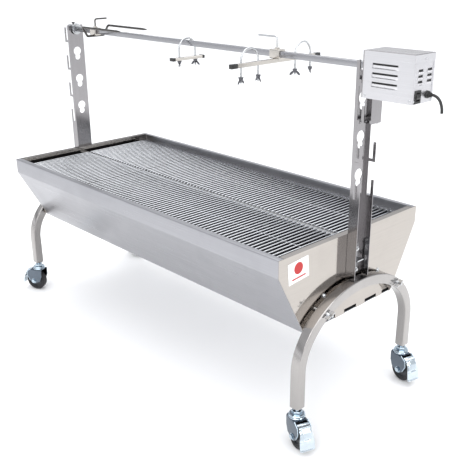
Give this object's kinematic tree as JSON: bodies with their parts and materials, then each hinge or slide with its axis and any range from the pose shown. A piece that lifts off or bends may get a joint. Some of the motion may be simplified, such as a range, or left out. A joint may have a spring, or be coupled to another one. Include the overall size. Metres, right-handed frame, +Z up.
{
  "type": "rotisserie spit roaster",
  "caption": "Charcoal spit roaster: open sheet-metal trough with grates on arched legs with casters, two slotted posts, a square spit with clamps and a side gear motor.",
  "frame": {"origin": "on the floor, below the middle of the object's box", "axes": "+X along the spit towards the motor, +Y to the back, +Z up"},
  "size_m": [1.6714, 0.6, 1.0534],
  "materials": {
    "satin_steel": "folded stainless sheet, satin with a soft reflection",
    "bright_steel": "polished stainless rods and fasteners",
    "bar_steel": "drawn stainless bar",
    "zinc_plate": "bright zinc plate with a blue cast",
    "pale_casing": "pale satin sheet steel",
    "black_plastic": "black moulded plastic",
    "supply_lead": "black flexible lead",
    "wheel_rubber": "dark grey solid rubber"
  },
  "bodies": {
    "root": {"trough_sheet": "satin_steel", "end_panel_left": "satin_steel", "end_panel_right": "satin_steel", "grate_ledge_front": "satin_steel", "grate_ledge_back": "satin_steel", "grate_rail": "satin_steel", "leg_arch_left": "satin_steel", "leg_arch_right": "satin_steel", "arch_bolt_left_front": "bright_steel", "arch_bolt_left_back": "bright_steel", "arch_bolt_right_front": "bright_steel", "arch_bolt_right_back": "bright_steel", "post_left": "satin_steel", "post_right": "satin_steel", "post_bolts_left": "bright_steel", "post_bolts_right": "bright_steel"},
    "grate_front_left": {"grate_front_left": "bright_steel"},
    "grate_front_right": {"grate_front_right": "bright_steel"},
    "grate_back_left": {"grate_back_left": "bright_steel"},
    "grate_back_right": {"grate_back_right": "bright_steel"},
    "motor": {"hook_plate": "satin_steel", "motor_casing": "pale_casing", "gear_motor": "zinc_plate", "switch_bezel": "black_plastic", "cord_gland": "black_plastic", "supply_cord": "supply_lead"},
    "switch_rocker": {"switch_rocker": "black_plastic"},
    "spit": {"spit_shaft": "bar_steel", "spit_journal": "bright_steel"},
    "drive": {"drive_socket": "bright_steel"},
    "journal_screw": {"journal_screw": "black_plastic"},
    "fork": {"fork": "bar_steel"},
    "fork_screw": {"fork_screw": "bright_steel"},
    "spine_clamp": {"spine_u_bolt": "bright_steel", "spine_plate": "bar_steel"},
    "spine_wing_nut_a": {"spine_wing_nut_a": "bright_steel"},
    "spine_wing_nut_b": {"spine_wing_nut_b": "bright_steel"},
    "leg_bracket": {"leg_bar": "bar_steel", "leg_u_bolt_front": "bright_steel", "leg_u_bolt_back": "bright_steel"},
    "leg_bar_screw": {"leg_bar_screw": "bright_steel"},
    "leg_wing_nut_a": {"leg_wing_nut_a": "bright_steel"},
    "leg_wing_nut_b": {"leg_wing_nut_b": "bright_steel"},
    "leg_wing_nut_c": {"leg_wing_nut_c": "bright_steel"},
    "leg_wing_nut_d": {"leg_wing_nut_d": "bright_steel"},
    "caster_fl": {"caster_fork_fl": "zinc_plate"},
    "wheel_fl": {"caster_wheel_fl": "wheel_rubber"},
    "pedal_fl": {"brake_pedal_fl": "zinc_plate"},
    "caster_bl": {"caster_fork_bl": "zinc_plate"},
    "wheel_bl": {"caster_wheel_bl": "wheel_rubber"},
    "pedal_bl": {"brake_pedal_bl": "zinc_plate"},
    "caster_fr": {"caster_fork_fr": "zinc_plate"},
    "wheel_fr": {"caster_wheel_fr": "wheel_rubber"},
    "pedal_fr": {"brake_pedal_fr": "zinc_plate"},
    "caster_br": {"caster_fork_br": "zinc_plate"},
    "wheel_br": {"caster_wheel_br": "wheel_rubber"},
    "pedal_br": {"brake_pedal_br": "zinc_plate"}
  },
  "joints": [
    {"name": "grate_lift_front_left", "type": "slide", "parent": "root", "child": "grate_front_left", "axis": [0, 0, 1], "range_m": [0, 0.12]},
    {"name": "grate_lift_front_right", "type": "slide", "parent": "root", "child": "grate_front_right", "axis": [0, 0, 1], "range_m": [0, 0.12]},
    {"name": "grate_lift_back_left", "type": "slide", "parent": "root", "child": "grate_back_left", "axis": [0, 0, 1], "range_m": [0, 0.12]},
    {"name": "grate_lift_back_right", "type": "slide", "parent": "root", "child": "grate_back_right", "axis": [0, 0, 1], "range_m": [0, 0.12]},
    {"name": "motor_lift", "type": "slide", "parent": "root", "child": "motor", "axis": [0, 0, 1], "range_m": [0, 0.045]},
    {"name": "switch_rock", "type": "hinge", "parent": "motor", "child": "switch_rocker", "pos_m": [0.8017, -0.047, 0.953], "axis": [0, 1, 0], "range_deg": [-16, 0]},
    {"name": "spit_spin", "type": "hinge", "parent": "motor", "child": "spit", "pos_m": [-0.0529, 0, 1.004], "axis": [1, 0, 0], "continuous": true},
    {"name": "drive_spin", "type": "hinge", "parent": "motor", "child": "drive", "pos_m": [0.6651, 0, 1.004], "axis": [1, 0, 0], "continuous": true},
    {"name": "journal_screw_turn", "type": "hinge", "parent": "spit", "child": "journal_screw", "pos_m": [-0.7369, 0, 1.024], "axis": [0, 0, 1], "range_deg": [-360, 360]},
    {"name": "fork_slide", "type": "slide", "parent": "spit", "child": "fork", "axis": [1, 0, 0], "range_m": [-0.09, 0.2]},
    {"name": "fork_screw_turn", "type": "hinge", "parent": "fork", "child": "fork_screw", "pos_m": [-0.5889, 0, 1.024], "axis": [0, 0, 1], "range_deg": [-360, 360]},
    {"name": "spine_slide", "type": "slide", "parent": "spit", "child": "spine_clamp", "axis": [1, 0, 0], "range_m": [-0.15, 0.15]},
    {"name": "spine_nut_turn_a", "type": "hinge", "parent": "spine_clamp", "child": "spine_wing_nut_a", "pos_m": [-0.0729, -0.033, 0.948], "axis": [0, 0, 1], "range_deg": [-360, 360]},
    {"name": "spine_nut_turn_b", "type": "hinge", "parent": "spine_clamp", "child": "spine_wing_nut_b", "pos_m": [-0.0729, 0.033, 0.948], "axis": [0, 0, 1], "range_deg": [-360, 360]},
    {"name": "leg_slide", "type": "slide", "parent": "spit", "child": "leg_bracket", "axis": [1, 0, 0], "range_m": [-0.15, 0.25]},
    {"name": "leg_screw_turn", "type": "hinge", "parent": "leg_bracket", "child": "leg_bar_screw", "pos_m": [0.3176, 0, 1.024], "axis": [0, 0, 1], "range_deg": [-360, 360]},
    {"name": "leg_nut_turn_a", "type": "hinge", "parent": "leg_bracket", "child": "leg_wing_nut_a", "pos_m": [0.3176, -0.141, 0.948], "axis": [0, 0, 1], "range_deg": [-360, 360]},
    {"name": "leg_nut_turn_b", "type": "hinge", "parent": "leg_bracket", "child": "leg_wing_nut_b", "pos_m": [0.3176, -0.075, 0.948], "axis": [0, 0, 1], "range_deg": [-360, 360]},
    {"name": "leg_nut_turn_c", "type": "hinge", "parent": "leg_bracket", "child": "leg_wing_nut_c", "pos_m": [0.3176, 0.075, 0.948], "axis": [0, 0, 1], "range_deg": [-360, 360]},
    {"name": "leg_nut_turn_d", "type": "hinge", "parent": "leg_bracket", "child": "leg_wing_nut_d", "pos_m": [0.3176, 0.141, 0.948], "axis": [0, 0, 1], "range_deg": [-360, 360]},
    {"name": "caster_swivel_fl", "type": "hinge", "parent": "root", "child": "caster_fl", "pos_m": [-0.7464, -0.245, 0.098], "axis": [0, 0, 1], "continuous": true},
    {"name": "wheel_roll_fl", "type": "hinge", "parent": "caster_fl", "child": "wheel_fl", "pos_m": [-0.7609, -0.25176, 0.04], "axis": [0.4226, -0.9063, 0], "continuous": true},
    {"name": "brake_press_fl", "type": "hinge", "parent": "caster_fl", "child": "pedal_fl", "pos_m": [-0.77721, -0.25937, 0.083], "axis": [0.4226, -0.9063, 0], "range_deg": [0, 6], "stiffness_Nm_per_rad": 0.6, "springref_deg": -5.73},
    {"name": "caster_swivel_bl", "type": "hinge", "parent": "root", "child": "caster_bl", "pos_m": [-0.7464, 0.245, 0.098], "axis": [0, 0, 1], "continuous": true},
    {"name": "wheel_roll_bl", "type": "hinge", "parent": "caster_bl", "child": "wheel_bl", "pos_m": [-0.76185, 0.24914, 0.04], "axis": [-0.2588, -0.9659, 0], "continuous": true},
    {"name": "brake_press_bl", "type": "hinge", "parent": "caster_bl", "child": "pedal_bl", "pos_m": [-0.77924, 0.2538, 0.083], "axis": [-0.2588, -0.9659, 0], "range_deg": [0, 6], "stiffness_Nm_per_rad": 0.6, "springref_deg": -5.73},
    {"name": "caster_swivel_fr", "type": "hinge", "parent": "root", "child": "caster_fr", "pos_m": [0.6406, -0.245, 0.098], "axis": [0, 0, 1], "continuous": true},
    {"name": "wheel_roll_fr", "type": "hinge", "parent": "caster_fr", "child": "wheel_fr", "pos_m": [0.65564, -0.25047, 0.04], "axis": [0.342, 0.9397, 0], "continuous": true},
    {"name": "brake_press_fr", "type": "hinge", "parent": "caster_fr", "child": "pedal_fr", "pos_m": [0.67255, -0.25663, 0.083], "axis": [0.342, 0.9397, 0], "range_deg": [0, 6], "stiffness_Nm_per_rad": 0.6, "springref_deg": -5.73},
    {"name": "caster_swivel_br", "type": "hinge", "parent": "root", "child": "caster_br", "pos_m": [0.6406, 0.245, 0.098], "axis": [0, 0, 1], "continuous": true},
    {"name": "wheel_roll_br", "type": "hinge", "parent": "caster_br", "child": "wheel_br", "pos_m": [0.65612, 0.24113, 0.04], "axis": [0.2419, 0.9703, 0], "continuous": true},
    {"name": "brake_press_br", "type": "hinge", "parent": "caster_br", "child": "pedal_br", "pos_m": [0.67359, 0.23677, 0.083], "axis": [0.2419, 0.9703, 0], "range_deg": [0, 6], "stiffness_Nm_per_rad": 0.6, "springref_deg": -5.73}
  ],
  "couplings": [
    {"joint": "drive_spin", "follows": "spit_spin", "ratio": 1}
  ]
}
